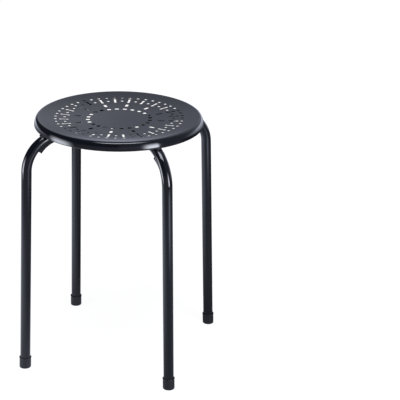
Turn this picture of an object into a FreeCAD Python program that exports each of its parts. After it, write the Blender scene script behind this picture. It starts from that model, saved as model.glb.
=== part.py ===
import FreeCAD, Part
import math
import os

# A round metal stacking stool. A pressed steel seat pan with a pattern of punched holes lies on two bent
# tube hoops that cross under it. The legs end in foot caps, and a pad inside each bend spares the paint
# of the next stool in a stack. Millimetres, +Z up, the origin on the floor under the seat's centre.
# The upper hoop runs along X and the lower hoop along Y.

# Seat pan: a shallow dish with a rounded shoulder, a short wall and a hem folded inwards.
stool_height = 450.0
seat_diameter = 298.0
sheet_thickness = 0.8
dish_depth = 6.0
dish_flat_diameter = 80.0
shoulder_radius = 6.0
rim_depth = 15.0
hem_gap = 0.4
hem_height = 6.0

# Hoops: round tube, a straight run under the seat, two bends and two splayed legs.
tube_diameter = 18.0
tube_wall = 1.2
bend_radius = 60.0
leg_splay_deg = 2.0
pan_to_run_gap = 1.8
hem_to_tube_gap = 0.1
press_length = 26.0
crossing_margin = 2.5

# Weld beads: one where the hem lies on each bend, four in the corners of the crossing. The shares say
# how far a bead's middle stands out from the hem, and how far it is sunk into its corner.
seat_bead_diameter = 4.2
seat_bead_length = 9.0
seat_bead_proud_share = 0.125
crossing_bead_diameter = 4.0
crossing_bead_length = 12.0
crossing_bead_sunk_share = 0.25

# Foot caps: a closed sleeve over each leg's end.
cap_wall = 1.4
cap_length = 20.0
cap_floor = 4.0
cap_lip = 0.6
cap_edge_radius = 1.2
cap_clearance = 0.1

# Stacking pads: a narrow wedge-shaped saddle inside each bend, held by a stud in the tube's wall.
pad_thick_end = 5.8
pad_thin_end = 1.8
pad_width = 9.5
pad_arc_deg = 36.0
pad_clearance = 0.05
pad_stud_diameter = 5.0
pad_stud_length = 6.0
pad_stud_clearance = 0.1
upper_pad_thick_end_deg = 44.0
lower_pad_thick_end_deg = 65.5

# Punched pattern: five rings of holes, from the middle outwards, each a step outside the one before.
pattern_count = 24
square_ring_radius = 54.8
square_hole_width = 7.2
square_hole_depth = 6.6
square_hole_corner = 1.4
square_to_bar_step = 19.7
bar_hole_width = 5.4
bar_hole_length = 11.6
bar_to_bone_step = 16.3
bone_length = 12.4
bone_end_diameter = 5.0
bone_waist = 3.4
bone_to_mid_dot_step = 5.4
bone_to_outer_dot_step = 8.6
dot_diameter = 5.2

overrun = 5.0

# Places worked out from the sizes above.
seat_radius = seat_diameter / 2
tube_radius = tube_diameter / 2
pan_z = stool_height - dish_depth
rim_bottom_z = stool_height - rim_depth
hem_radius = sheet_thickness + hem_gap / 2
hem_ring_radius = seat_radius - hem_radius
shoulder_ring_radius = seat_radius - shoulder_radius
shoulder_z = stool_height - shoulder_radius

bar_ring_radius = square_ring_radius + square_to_bar_step
bone_inner_radius = bar_ring_radius + bar_to_bone_step
bone_outer_radius = bone_inner_radius + bone_length
mid_dot_ring_radius = bone_inner_radius + bone_to_mid_dot_step
outer_dot_ring_radius = bone_outer_radius + bone_to_outer_dot_step

run_z = pan_z - sheet_thickness - pan_to_run_gap - tube_radius
bend_z = run_z - bend_radius
hem_reach = bend_radius + tube_radius + hem_radius + hem_to_tube_gap
hem_rise = rim_bottom_z + hem_radius - bend_z
bend_start = hem_ring_radius - math.sqrt(hem_reach ** 2 - hem_rise ** 2)
leg_splay = math.radians(leg_splay_deg)
leg_top_x = bend_start + bend_radius * math.cos(leg_splay)
leg_top_z = bend_z + bend_radius * math.sin(leg_splay)
foot_radius = leg_top_x + leg_top_z * math.tan(leg_splay)

pressed_height = tube_radius
pressed_flat = math.pi * tube_diameter / 4
pressed_width = pressed_flat + pressed_height
flat_half = pressed_width / 2 + crossing_margin
cap_radius = tube_radius + cap_wall

X_AXIS = FreeCAD.Vector(1, 0, 0)
Y_AXIS = FreeCAD.Vector(0, 1, 0)
Z_AXIS = FreeCAD.Vector(0, 0, 1)
ORIGIN = FreeCAD.Vector(0, 0, 0)
LEG_UP = FreeCAD.Vector(-math.sin(leg_splay), 0, math.cos(leg_splay))
HALF_TURN = 180.0
QUARTER_TURN = 90.0
FULL_TURN = 360.0


def point(x, z, y=0):
    return FreeCAD.Vector(x, y, z)


def line(start, end):
    return Part.LineSegment(start, end).toShape()


def arc_about(centre, radius, start_deg, end_deg):
    """An arc in the XZ plane about a centre, its angles measured from +X towards +Z."""
    ends = []
    for angle in (start_deg, (start_deg + end_deg) / 2, end_deg):
        turn = math.radians(angle)
        ends.append(point(centre.x + radius * math.cos(turn), centre.z + radius * math.sin(turn)))
    return Part.Arc(ends[0], ends[1], ends[2]).toShape()


def joined(edges):
    """The edges, each starting where the last ended, with straight edges closing the gaps."""
    chain = []
    for edge in edges:
        if chain:
            start = chain[-1].lastVertex(True).Point
            end = edge.firstVertex(True).Point
            if (end - start).Length > Part.Vertex(start).Tolerance:
                chain.append(line(start, end))
        chain.append(edge)
    closing = line(chain[-1].lastVertex(True).Point, chain[0].firstVertex(True).Point)
    return Part.Wire(chain + [closing])


def turned(shape, angle_deg):
    """A copy turned about the stool's own axis."""
    copy = shape.copy()
    copy.rotate(ORIGIN, Z_AXIS, angle_deg)
    return copy


# Seat pan

def pan_profile():
    """Half of the pan's section: the sheet's upper side outwards, then its lower side back to the axis."""
    flat_radius = dish_flat_diameter / 2
    run = shoulder_ring_radius - flat_radius
    rise = pan_z - shoulder_z
    dish_radius = (run ** 2 + rise ** 2 - shoulder_radius ** 2) / (2 * (shoulder_radius - rise))
    dish_centre = point(flat_radius, pan_z + dish_radius)
    shoulder_centre = point(shoulder_ring_radius, shoulder_z)
    tilt_deg = math.degrees(math.atan2(run, dish_centre.z - shoulder_z))
    hem_centre = point(hem_ring_radius, rim_bottom_z + hem_radius)
    inner_hem = hem_gap / 2
    dish_start = -QUARTER_TURN
    dish_end = dish_start + tilt_deg
    shoulder_start = QUARTER_TURN + tilt_deg
    leaf_top = rim_bottom_z + hem_height
    upper_side = [
        line(point(0, pan_z), point(flat_radius, pan_z)),
        arc_about(dish_centre, dish_radius, dish_start, dish_end),
        arc_about(shoulder_centre, shoulder_radius, shoulder_start, 0),
        arc_about(hem_centre, hem_radius, 0, -HALF_TURN),
        line(point(hem_ring_radius - hem_radius, leaf_top), point(hem_ring_radius - inner_hem, leaf_top)),
    ]
    lower_side = [
        arc_about(hem_centre, inner_hem, -HALF_TURN, 0),
        arc_about(shoulder_centre, shoulder_radius - sheet_thickness, 0, shoulder_start),
        arc_about(dish_centre, dish_radius + sheet_thickness, dish_end, dish_start),
        line(point(flat_radius, pan_z - sheet_thickness), point(0, pan_z - sheet_thickness)),
    ]
    return joined(upper_side + lower_side)


def punch(wire):
    """A hole's outline in the XY plane, made a prism through the whole pan."""
    wire.translate(Z_AXIS * (pan_z - sheet_thickness - overrun))
    return Part.Face(wire).extrude(Z_AXIS * (dish_depth + sheet_thickness + overrun * 2))


def flat_point(x, y):
    return FreeCAD.Vector(x, y, 0)


def dot_punch(radius):
    return punch(Part.Wire(Part.makeCircle(dot_diameter / 2, flat_point(radius, 0))))


def square_punch():
    """A rounded rectangle, wider across the radius than along it."""
    half_depth = square_hole_depth / 2
    half_width = square_hole_width / 2
    corners = [(1, 1), (-1, 1), (-1, -1), (1, -1)]
    block = Part.makePolygon([flat_point(square_ring_radius + sx * half_depth, sy * half_width)
                              for sx, sy in corners + corners[:1]])
    prism = punch(block)
    upright = [edge for edge in prism.Edges if abs(edge.tangentAt(edge.FirstParameter).z) > 0.5]
    return prism.makeFillet(square_hole_corner, upright)


def slot_wire(inner, outer, end_radius, half_waist):
    """Two round ends joined by a straight waist, lying along a radius."""
    neck = math.sqrt(end_radius ** 2 - half_waist ** 2)
    inner_side = inner + neck
    outer_side = outer - neck
    return Part.Wire([
        line(flat_point(inner_side, half_waist), flat_point(outer_side, half_waist)),
        Part.Arc(flat_point(outer_side, half_waist), flat_point(outer + end_radius, 0),
                 flat_point(outer_side, -half_waist)).toShape(),
        line(flat_point(outer_side, -half_waist), flat_point(inner_side, -half_waist)),
        Part.Arc(flat_point(inner_side, -half_waist), flat_point(inner - end_radius, 0),
                 flat_point(inner_side, half_waist)).toShape(),
    ])


def bar_punch():
    end_radius = bar_hole_width / 2
    half_straight = bar_hole_length / 2 - end_radius
    return punch(slot_wire(bar_ring_radius - half_straight, bar_ring_radius + half_straight,
                           end_radius, end_radius))


def bone_punch():
    return punch(slot_wire(bone_inner_radius, bone_outer_radius, bone_end_diameter / 2, bone_waist / 2))


def pattern_punches():
    """Every punched hole. The legs lie under the dots, and the long holes lie between the dots."""
    step_deg = FULL_TURN / pattern_count
    half_step = step_deg / 2
    square = square_punch()
    bar = bar_punch()
    bone = bone_punch()
    mid_dot = dot_punch(mid_dot_ring_radius)
    outer_dot = dot_punch(outer_dot_ring_radius)
    punches = []
    for index in range(pattern_count):
        angle = index * step_deg
        punches.append(turned(square, angle + half_step))
        punches.append(turned(bone, angle + half_step))
        punches.append(turned(mid_dot, angle))
        punches.append(turned(outer_dot, angle))
        punches.append(turned(outer_dot, angle + half_step))
        if index % 2:
            punches.append(turned(bar, angle + half_step))
    return punches


def pan_blank():
    """The pressed pan before its holes are punched."""
    return Part.Face(pan_profile()).revolve(ORIGIN, Z_AXIS, FULL_TURN)


# Tube hoops

def quartered_circle(x, z, radius):
    """A circle across X in four arcs, each the length that one side of the pressed tube takes up."""
    corners = [math.radians(QUARTER_TURN * (index + 0.5)) for index in range(5)]
    edges = []
    for start, end in zip(corners, corners[1:]):
        turns = (start, (start + end) / 2, end)
        a, b, c = [point(x, z + radius * math.sin(turn), radius * math.cos(turn)) for turn in turns]
        edges.append(Part.Arc(a, b, c).toShape())
    return Part.Wire(edges)


def pressed_outline(x, z, inset):
    """The pressed tube's section across X: two flats joined by half circles, moved inwards by inset."""
    half_flat = pressed_flat / 2
    end_radius = pressed_height / 2 - inset
    top = z + end_radius
    bottom = z - end_radius
    return Part.Wire([
        line(point(x, top, half_flat), point(x, top, -half_flat)),
        Part.Arc(point(x, top, -half_flat), point(x, z, -half_flat - end_radius),
                 point(x, bottom, -half_flat)).toShape(),
        line(point(x, bottom, -half_flat), point(x, bottom, half_flat)),
        Part.Arc(point(x, bottom, half_flat), point(x, z, half_flat + end_radius),
                 point(x, top, half_flat)).toShape(),
    ])


def hoop_body(inset, side, foot_gap):
    """The space inside the tube's surface moved inwards by inset. side is 1 if pressed upwards, -1 down."""
    radius = tube_radius - inset
    pressed_z = run_z + side * pressed_height / 2
    press_end = flat_half + press_length
    foot = point(foot_radius, 0) + LEG_UP * foot_gap
    leg_top = point(leg_top_x, leg_top_z)
    leg = Part.makeCylinder(radius, (leg_top - foot).Length, foot, LEG_UP)
    disc = Part.Face(Part.Wire(Part.makeCircle(radius, point(bend_start, run_z), X_AXIS)))
    bend = disc.revolve(point(bend_start, bend_z), Y_AXIS, QUARTER_TURN - leg_splay_deg)
    run = Part.makeCylinder(radius, bend_start - press_end, point(press_end, run_z), X_AXIS)
    press = Part.makeLoft([pressed_outline(flat_half, pressed_z, inset),
                           quartered_circle(press_end, run_z, radius)], True, True)
    flat = Part.Face(pressed_outline(-flat_half, pressed_z, inset)).extrude(X_AXIS * (flat_half * 2))
    half = [leg, bend, run, press]
    body = flat.fuse(half + [turned(piece, HALF_TURN) for piece in half])
    return body.removeSplitter()


def stud_hole(thick_end_deg, direction):
    """The hole in the inner side of the bend that takes a pad's stud."""
    radius = pad_stud_diameter / 2 + pad_stud_clearance
    return stud(thick_end_deg, direction, radius, overrun)


def hoop(side, thick_end_deg, direction):
    """One hollow hoop along X, with the two pads' stud holes."""
    tube = hoop_body(0, side, cap_floor).cut(hoop_body(tube_wall, side, cap_floor - overrun))
    hole = stud_hole(thick_end_deg, direction)
    return tube.cut([hole, turned(hole, HALF_TURN)])


# Stacking pads

def bend_point(angle_deg, radius):
    """A point in the bend's plane at a radius from the bend's centre. 90 degrees is the bend's top."""
    turn = math.radians(angle_deg)
    return point(bend_start + radius * math.cos(turn), bend_z + radius * math.sin(turn))


def stud(thick_end_deg, direction, radius, extra):
    """A round stud at the middle of a pad, from inside the tube out towards the bend's centre."""
    angle = thick_end_deg + direction * pad_arc_deg / 2
    inner_end = bend_point(angle, bend_radius - tube_radius + tube_wall + pad_stud_length)
    towards_centre = bend_point(angle, 0) - inner_end
    towards_centre.normalize()
    reach = tube_wall + pad_stud_length + pad_thin_end + extra
    return Part.makeCylinder(radius, reach, inner_end, towards_centre)


def pad(thick_end_deg, direction):
    """A saddle whose outer side drifts away from the tube, from the thin end to the thick end."""
    thin_end_deg = thick_end_deg + direction * pad_arc_deg
    drift = pad_thick_end - pad_thin_end
    middle_deg = (thick_end_deg + thin_end_deg) / 2
    start = bend_point(thin_end_deg, bend_radius)
    middle = bend_point(middle_deg, bend_radius - drift / 2)
    end = bend_point(thick_end_deg, bend_radius - drift)
    spine = Part.Wire([Part.Arc(start, middle, end).toShape()])
    along = spine.Edges[0].tangentAt(spine.Edges[0].FirstParameter)
    disc = Part.Wire(Part.makeCircle(tube_radius + pad_thin_end, start, along))
    swept = spine.makePipeShell([disc], True, False)
    slab_corner = point(bend_start, bend_z, -pad_width / 2)
    reach = bend_radius + tube_radius
    slab = Part.makeBox(reach, pad_width, reach, slab_corner)
    ring = Part.makeTorus(bend_radius, tube_radius + pad_clearance, point(bend_start, bend_z), Y_AXIS)
    shell = swept.common(slab).cut(ring)
    wedge = min(shell.Solids, key=lambda solid: (solid.CenterOfMass - bend_point(0, 0)).Length)
    peg = stud(thick_end_deg, direction, pad_stud_diameter / 2, 0)
    return wedge.fuse(peg).removeSplitter()


# Foot caps

def foot_cap():
    """A closed sleeve round the leg's end, cut flat on the floor, with a lip round its mouth."""
    start = point(foot_radius, 0) - LEG_UP * overrun
    mouth = point(foot_radius, 0) + LEG_UP * (cap_length - cap_lip)
    sleeve = Part.makeCylinder(cap_radius, cap_length + overrun, start, LEG_UP)
    lip = Part.makeTorus(cap_radius, cap_lip, mouth, LEG_UP)
    seat = point(foot_radius, 0) + LEG_UP * cap_floor
    bore = Part.makeCylinder(tube_radius + cap_clearance, cap_length, seat, LEG_UP)
    side = 2 * (cap_radius + overrun)
    below = Part.makeBox(side, side, side, point(foot_radius - side / 2, -side, -side / 2))
    body = sleeve.fuse(lip).cut([bore, below])
    rim = [edge for edge in body.Edges if edge.BoundBox.ZMax < cap_edge_radius / 2]
    return body.makeFillet(cap_edge_radius, rim)


# Weld beads

def rounded_bar(start, end, radius):
    """A straight bead with round ends."""
    along = end - start
    bar = Part.makeCylinder(radius, along.Length, start, along)
    return bar.fuse([Part.makeSphere(radius, start), Part.makeSphere(radius, end)]).removeSplitter()


def seat_welds(pan, bend):
    """A bead along the outside of the hem where each bend passes under it, cut back to both."""
    radius = seat_bead_diameter / 2
    half = seat_bead_length / 2 - radius
    bead_x = seat_radius + seat_bead_diameter * seat_bead_proud_share
    bar = rounded_bar(point(bead_x, rim_bottom_z, -half), point(bead_x, rim_bottom_z, half), radius)
    bead = largest(bar.cut([pan, bend]))
    return [turned(bead, QUARTER_TURN * index) for index in range(4)]


def crossing_welds(hoops):
    """Four beads in the corners where one pressed tube lies on the other, cut back to both."""
    radius = crossing_bead_diameter / 2
    half = crossing_bead_length / 2 - radius
    sunk = crossing_bead_diameter * crossing_bead_sunk_share
    side = pressed_width / 2 - sunk
    beads = []
    for sign in (1, -1):
        above = rounded_bar(point(-half, run_z + sunk, sign * side),
                            point(half, run_z + sunk, sign * side), radius)
        below = rounded_bar(point(sign * side, run_z - sunk, -half),
                            point(sign * side, run_z - sunk, half), radius)
        beads += [above.cut(hoops), below.cut(hoops)]
    return [largest(bead) for bead in beads]


def largest(shape):
    return max(shape.Solids, key=lambda solid: solid.Volume)


def write(name, solids):
    """One STEP file for a node, with its solids side by side."""
    shape = solids[0] if len(solids) == 1 else Part.makeCompound(solids)
    shape.exportStep("parts/" + name + ".step")
    volume = sum(solid.Volume for solid in solids)
    valid = all(solid.isValid() for solid in solids)
    print(f"{name}: {len(solids)} solid(s), {volume:.0f} mm3, valid {valid}")


def main():
    os.makedirs("parts", exist_ok=True)
    print(f"run at {run_z:.2f}, bend starts {bend_start:.2f}, feet at {foot_radius:.2f}")

    blank = pan_blank()
    write("seat_pan", blank.cut(pattern_punches()).Solids)

    # The upper hoop's pads point their thick ends down and the lower hoop's up, as placed on the stool.
    upper = hoop(1, upper_pad_thick_end_deg, 1).Solids[0]
    lower = turned(hoop(-1, lower_pad_thick_end_deg, -1), QUARTER_TURN).Solids[0]
    write("hoop_upper", [upper])
    write("hoop_lower", [lower])

    filled = [hoop_body(0, 1, cap_floor), turned(hoop_body(0, -1, cap_floor), QUARTER_TURN)]
    write("seat_welds", seat_welds(blank, filled[0]))
    write("crossing_welds", crossing_welds(filled))

    upper_pad = pad(upper_pad_thick_end_deg, 1)
    lower_pad = pad(lower_pad_thick_end_deg, -1)
    cap = foot_cap()
    legs = [("right", upper_pad), ("rear", lower_pad), ("left", upper_pad), ("front", lower_pad)]
    for index, (leg, leg_pad) in enumerate(legs):
        write("stack_pad_" + leg, turned(leg_pad, QUARTER_TURN * index).Solids)
        write("foot_cap_" + leg, turned(cap, QUARTER_TURN * index).Solids)


main()
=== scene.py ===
# %% [markdown]
# # A round metal stacking stool
# The stool is a pressed steel seat with punched rings of holes, on two bent tubes that cross under it. The
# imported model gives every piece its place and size. This script builds each visible surface again as a
# smooth mesh, gives it its finish, and sets up a small photo studio round it.

# %% Load the frame
import math
import bpy
import numpy as np
from mathutils import Matrix, Vector


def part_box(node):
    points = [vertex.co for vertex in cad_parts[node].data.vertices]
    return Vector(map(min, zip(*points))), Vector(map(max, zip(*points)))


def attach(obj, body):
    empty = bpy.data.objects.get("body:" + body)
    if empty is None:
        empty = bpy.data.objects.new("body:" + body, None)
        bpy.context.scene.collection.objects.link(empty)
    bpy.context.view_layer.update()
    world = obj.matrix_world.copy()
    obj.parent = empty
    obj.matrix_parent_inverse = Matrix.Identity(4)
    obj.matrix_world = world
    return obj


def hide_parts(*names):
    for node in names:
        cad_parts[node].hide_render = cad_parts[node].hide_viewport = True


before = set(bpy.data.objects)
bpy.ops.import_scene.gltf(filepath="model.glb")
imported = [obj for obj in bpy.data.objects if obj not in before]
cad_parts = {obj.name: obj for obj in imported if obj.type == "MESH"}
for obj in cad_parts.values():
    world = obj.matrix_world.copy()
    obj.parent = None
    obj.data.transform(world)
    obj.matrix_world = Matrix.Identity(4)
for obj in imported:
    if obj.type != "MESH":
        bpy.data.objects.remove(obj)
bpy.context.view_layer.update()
scene = bpy.context.scene
print("nodes:", ", ".join(sorted(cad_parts)))

# %% [markdown]
# ## Sizes
# The box of the imported seat pan gives the seat's sizes. What a box can't show, such as the
# bend's radius or a hole's width, is written here once, and everything else is worked out from it. The
# values are in metres, so a millimetre gets a name.

# %% Sizes
MM = 0.001
seat_low, seat_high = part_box("seat_pan")
SEAT_RADIUS = round(seat_high.x, 3)
STOOL_HEIGHT = round(seat_high.z, 3)
RIM_BOTTOM = round(seat_low.z, 4)
SHEET = 0.8 * MM
DISH_DEPTH = 6 * MM
DISH_FLAT_RADIUS = 40 * MM
SHOULDER = 6 * MM
HEM_GAP = 0.4 * MM
HEM_HEIGHT = 6 * MM

TUBE_RADIUS = 9 * MM
BEND_RADIUS = 60 * MM
LEG_SPLAY = math.radians(2)
RUN_Z = 432.4 * MM
HEM_TO_TUBE = 0.1 * MM
PRESS_LENGTH = 26 * MM
CROSSING_MARGIN = 2.5 * MM

HEM_RADIUS = SHEET + HEM_GAP / 2
HEM_RING = SEAT_RADIUS - HEM_RADIUS
BEND_Z = RUN_Z - BEND_RADIUS
hem_reach = BEND_RADIUS + TUBE_RADIUS + HEM_RADIUS + HEM_TO_TUBE
BEND_START = HEM_RING - math.sqrt(hem_reach ** 2 - (RIM_BOTTOM + HEM_RADIUS - BEND_Z) ** 2)
LEG_TOP_X = BEND_START + BEND_RADIUS * math.cos(LEG_SPLAY)
LEG_TOP_Z = BEND_Z + BEND_RADIUS * math.sin(LEG_SPLAY)
FOOT_X = LEG_TOP_X + LEG_TOP_Z * math.tan(LEG_SPLAY)
print(f"seat {SEAT_RADIUS * 2:.3f} m across, top at {STOOL_HEIGHT:.3f} m, feet {FOOT_X * 2:.3f} m apart")

# %% [markdown]
# ## The camera
# A long lens looks slightly down at the stool, which stands left of the middle. The seat's outline, its rings
# of holes, the legs and the feet fix where such a camera stands. Turning the camera in three steps, first to
# its heading, then down, then by a small roll, keeps each number readable.

# %% Camera
SENSOR_MM = 36
IMAGE_PIXELS = 400
LENS_PIXELS = 1420.8
CAMERA_PLACE = (-1.0713, -2.1262, 1.2381)
HEADING_DEG, PITCH_DEG, ROLL_DEG = 30.238, 21.694, 1.138

lens = bpy.data.cameras.new("studio_lens")
lens.sensor_width = SENSOR_MM
lens.lens = LENS_PIXELS / IMAGE_PIXELS * lens.sensor_width
camera = bpy.data.objects.new("studio_camera", lens)
scene.collection.objects.link(camera)
camera.matrix_world = (
    Matrix.Translation(CAMERA_PLACE)
    @ Matrix.Rotation(math.radians(-HEADING_DEG), 4, "Z")
    @ Matrix.Rotation(math.radians(90 - PITCH_DEG), 4, "X")
    @ Matrix.Rotation(math.radians(ROLL_DEG), 4, "Z")
)
scene.camera = camera
print(f"lens {lens.lens:.1f} mm")

# %% [markdown]
# ## Shader maths as expressions
# A finish is arithmetic on noise and position. Adding and linking every Math node in lines of its own would
# hide the formula. This class wraps one output socket instead, so that `1 - mask * 0.4` adds the nodes by
# itself and still reads as a formula, and `node` makes any other node.

# %% Shader expressions
class Flow:
    """A node's output. Arithmetic on it adds Math nodes to the same tree."""

    def __init__(self, tree, socket=None):
        self.tree = tree
        self.socket = socket

    def node(self, kind, settings=None, inputs=None, out=0):
        """Adds a node: its settings first, then the value or the link of each input. Returns one output."""
        made = self.tree.nodes.new("ShaderNode" + kind)
        for name, value in (settings or {}).items():
            if name == "stops":
                set_stops(made.color_ramp, value)
            else:
                setattr(made, name, value)
        for name, value in (inputs or {}).items():
            if isinstance(value, Flow):
                self.tree.links.new(value.socket, made.inputs[name])
            else:
                made.inputs[name].default_value = value
        return Flow(self.tree, made.outputs[out])

    def math(self, operation, first, second):
        """One Math node on two numbers or flows."""
        return self.node("Math", {"operation": operation}, {0: first, 1: second})

    def __add__(self, other):
        return self.math("ADD", self, other)

    def __radd__(self, other):
        return self.math("ADD", other, self)

    def __sub__(self, other):
        return self.math("SUBTRACT", self, other)

    def __rsub__(self, other):
        return self.math("SUBTRACT", other, self)

    def __mul__(self, other):
        return self.math("MULTIPLY", self, other)

    def __rmul__(self, other):
        return self.math("MULTIPLY", other, self)

    def smooth(self, low, high):
        """0 below low, 1 above high, an even S between."""
        settings = {"interpolation_type": "SMOOTHSTEP", "clamp": True}
        return self.node("MapRange", settings, {"Value": self, "From Min": low, "From Max": high})

    def along(self, direction):
        """How far this vector reaches in a direction."""
        return self.node("VectorMath", {"operation": "DOT_PRODUCT"}, {0: self, 1: tuple(direction)}, out=1)

    def distance(self, place):
        """How far this place lies from another."""
        return self.node("VectorMath", {"operation": "DISTANCE"}, {0: self, 1: tuple(place)}, out=1)

    def blend(self, first, second):
        """The first colour where this is 0 and the second where it is 1. Inputs 6 and 7 are the colours."""
        inputs = {0: self, 6: first, 7: second}
        return self.node("Mix", {"data_type": "RGBA"}, inputs, out=2)

    def noise(self, place, scale, detail):
        """Soft noise from 0 to 1, with scale waves in a metre and detail finer layers."""
        inputs = {"Vector": place, "Scale": scale, "Detail": detail, "Roughness": 0.5}
        return self.node("TexNoise", {"noise_dimensions": "3D"}, inputs)


def set_stops(ramp, stops):
    """Colour ramp stops, as pairs of a position and a grey level."""
    while len(ramp.elements) < len(stops):
        ramp.elements.new(1.0)
    for element, (position, grey) in zip(ramp.elements, stops):
        element.position = position
        element.color = (grey, grey, grey, 1.0)


print("expressions ready: + - * and smooth, along, distance, blend, noise")

# %% [markdown]
# ## Starting a material
# A new material comes with one principled shader, which already knows how paint, plastic and rubber mirror
# light. What varies over the surface is fed to it: a colour between two tones, a roughness and a relief. The
# relief is a few hundredths of a millimetre high at most and would take millions of real faces, so it is a
# bump. It all reads Object coordinates, because these move with the piece and need no unwrapping.

# %% Material helpers
OBJECT_OUTPUT = 3


def new_material(name):
    """A new material: its tree's starting point, a place on the piece, and its principled shader."""
    material = bpy.data.materials.new(name)
    material.use_nodes = True
    tree = material.node_tree
    shader = tree.nodes["Principled BSDF"]
    start = Flow(tree)
    place = start.node("TexCoord", out=OBJECT_OUTPUT)
    return material, start, place, shader


def feed(flow, shader, name):
    """Links a flow to one of the shader's inputs."""
    flow.tree.links.new(flow.socket, shader.inputs[name])


def feed_colour(mask, colour, lighter, lift, shader):
    """The colour where the mask is 0, and where it is 1 a lighter one: colour times lighter plus lift."""
    light = [channel * lighter + lift for channel in colour]
    feed(mask.blend((*colour, 1.0), (*light, 1.0)), shader, "Base Color")


def feed_bump(relief, height, shader):
    """Lets the relief, from 0 to 1, tilt the surface as if it stood up by the height."""
    feed(relief.node("Bump", None, {"Strength": 1.0, "Distance": height, "Height": relief}), shader, "Normal")


print("material helpers ready")

# %% [markdown]
# ## The powder coat
# Seat and tubes are powder coated in a blue-black with a half gloss. Baked powder leaves a very shallow
# orange peel a millimetre or two wide, which softens every reflection without hiding it. An image of real
# paint would have to be wrapped round every tube and would blur close up, so three noises make the coat: a
# fine one in the bump, a broad one that lets the gloss drift a little, and a few tiny paler specks.

# %% Powder coat
COAT_COLOUR = (0.0034, 0.0040, 0.0066)
PEEL_SCALE, PEEL_HEIGHT = 620, 0.006 * MM
COAT_DRIFT_SCALE, GLOSS_DRIFT = 14, 0.05
SPECK_SCALE, SPECK_FROM, SPECK_FULL = 900, 0.66, 0.74
DRIFT_PALE, SPECK_PALE = 0.8, 0.3
PALE_TIMES, PALE_PLUS = 1.25, 0.001


def powder_coat(name, gloss_rough):
    """The drift and the specks pale the colour. The drift less one half shifts the roughness too."""
    material, start, place, shader = new_material(name)
    drift = start.noise(place, COAT_DRIFT_SCALE, 3)
    specks = start.noise(place, SPECK_SCALE, 1).smooth(SPECK_FROM, SPECK_FULL)
    pale = drift * DRIFT_PALE + specks * SPECK_PALE
    feed_colour(pale, COAT_COLOUR, PALE_TIMES, PALE_PLUS, shader)
    feed(gloss_rough + (drift - 0.5) * GLOSS_DRIFT, shader, "Roughness")
    feed_bump(start.noise(place, PEEL_SCALE, 1), PEEL_HEIGHT, shader)
    return material


seat_paint = powder_coat("seat_powder_coat", gloss_rough=0.10)
tube_paint = powder_coat("tube_powder_coat", gloss_rough=0.09)
print("powder coats made:", seat_paint.name, tube_paint.name)

# %% [markdown]
# ## Plastic and rubber
# The pads are hard black plastic and the foot caps are rubber. Both come out of a mould that was left
# slightly rough, so that they are matt. Each could be built by itself, but they differ only in colour,
# roughness, sheen and how wide the grain is, so one function makes both. One fine noise is the grain, in the
# bump and in the roughness alike.

# %% Plastic and rubber
GRAIN_HEIGHT, GRAIN_ROUGH = 0.03 * MM, 0.1
MOULD_DRIFT_SCALE, MOULD_PALE = 30, 1.5


def moulded(name, colour, rough, sheen, grain_scale):
    """The grain less one half shifts the roughness, and a much broader noise pales the colour."""
    material, start, place, shader = new_material(name)
    shader.inputs["Specular IOR Level"].default_value = sheen
    grain = start.noise(place, grain_scale, 2)
    feed_colour(start.noise(place, MOULD_DRIFT_SCALE, 3), colour, MOULD_PALE, 0, shader)
    feed(rough + (grain - 0.5) * GRAIN_ROUGH, shader, "Roughness")
    feed_bump(grain, GRAIN_HEIGHT, shader)
    return material


pad_plastic = moulded("pad_plastic", (0.0045, 0.0045, 0.0052), rough=0.55, sheen=0.2, grain_scale=1500)
foot_rubber = moulded("foot_rubber", (0.0085, 0.009, 0.0115), rough=0.5, sheen=0.45, grain_scale=1100)
print("moulded finishes made:", pad_plastic.name, foot_rubber.name)

# %% [markdown]
# ## From numbers to a mesh
# Every surface here is a grid: rows along one parameter, columns along the other. Spin, Solidify and Boolean
# could make most of them too, but a formula puts each point exactly where its neighbour piece has one.
# `grid_faces` joins the neighbours of a grid to quads, and `welded` puts many grids together and makes
# points that share a place one point.

# %% Grids
WELD = 1e-6


def grid_faces(rows, columns, closed=True):
    """Quads between neighbouring rows and columns. closed joins the last column to the first."""
    down = np.arange(rows - 1)[:, None] * columns
    across = np.arange(columns if closed else columns - 1)
    after = (across + 1) % columns
    return np.stack([down + across, down + after, down + after + columns, down + across + columns], axis=-1)


def patch(places, closed=True):
    """A grid of places, shaped rows x columns x 3, as a list of points and a list of quads."""
    rows, columns = places.shape[:2]
    return places.reshape(-1, 3), grid_faces(rows, columns, closed).reshape(-1, 4)


def welded(patches):
    """All patches as one list of points and faces. Points that round to the same micrometre become one."""
    points, quads, first = [], [], 0
    for patch_points, patch_quads in patches:
        points.append(patch_points)
        quads.append(patch_quads + first)
        first += len(patch_points)
    points = np.concatenate(points)
    rounded = np.round(points / WELD).astype(np.int64)
    _, kept, renamed = np.unique(rounded, axis=0, return_index=True, return_inverse=True)
    faces = renamed.reshape(-1)[np.concatenate(quads)]
    return points[kept], faces


def six_volumes(points, faces):
    """Six times the volume that the quads enclose: the sum of a cross b dot c over both triangles of
    each. It is positive where they face outwards."""
    a, b, c, d = [points[faces[:, corner]] for corner in range(4)]
    return np.sum(np.cross(a, b) * c) + np.sum(np.cross(a, c) * d)


print("3 rows of 8 columns make", len(patch(np.zeros((3, 8, 3)))[1]), "quads when closed")

# %% [markdown]
# ## From a mesh to a piece
# `new_piece` hands the arrays to Blender, shades them smooth except at sharp edges, and lets the piece take
# a node's place. Where a row of a grid shrinks to a point, a quad has the same corner twice, so each face
# keeps only its different corners. The sign of the volume tells whether the faces point outwards. An edge
# with a single face would be a gap, so these are counted and printed.

# %% Pieces
SHARP_DEG = 50


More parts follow.
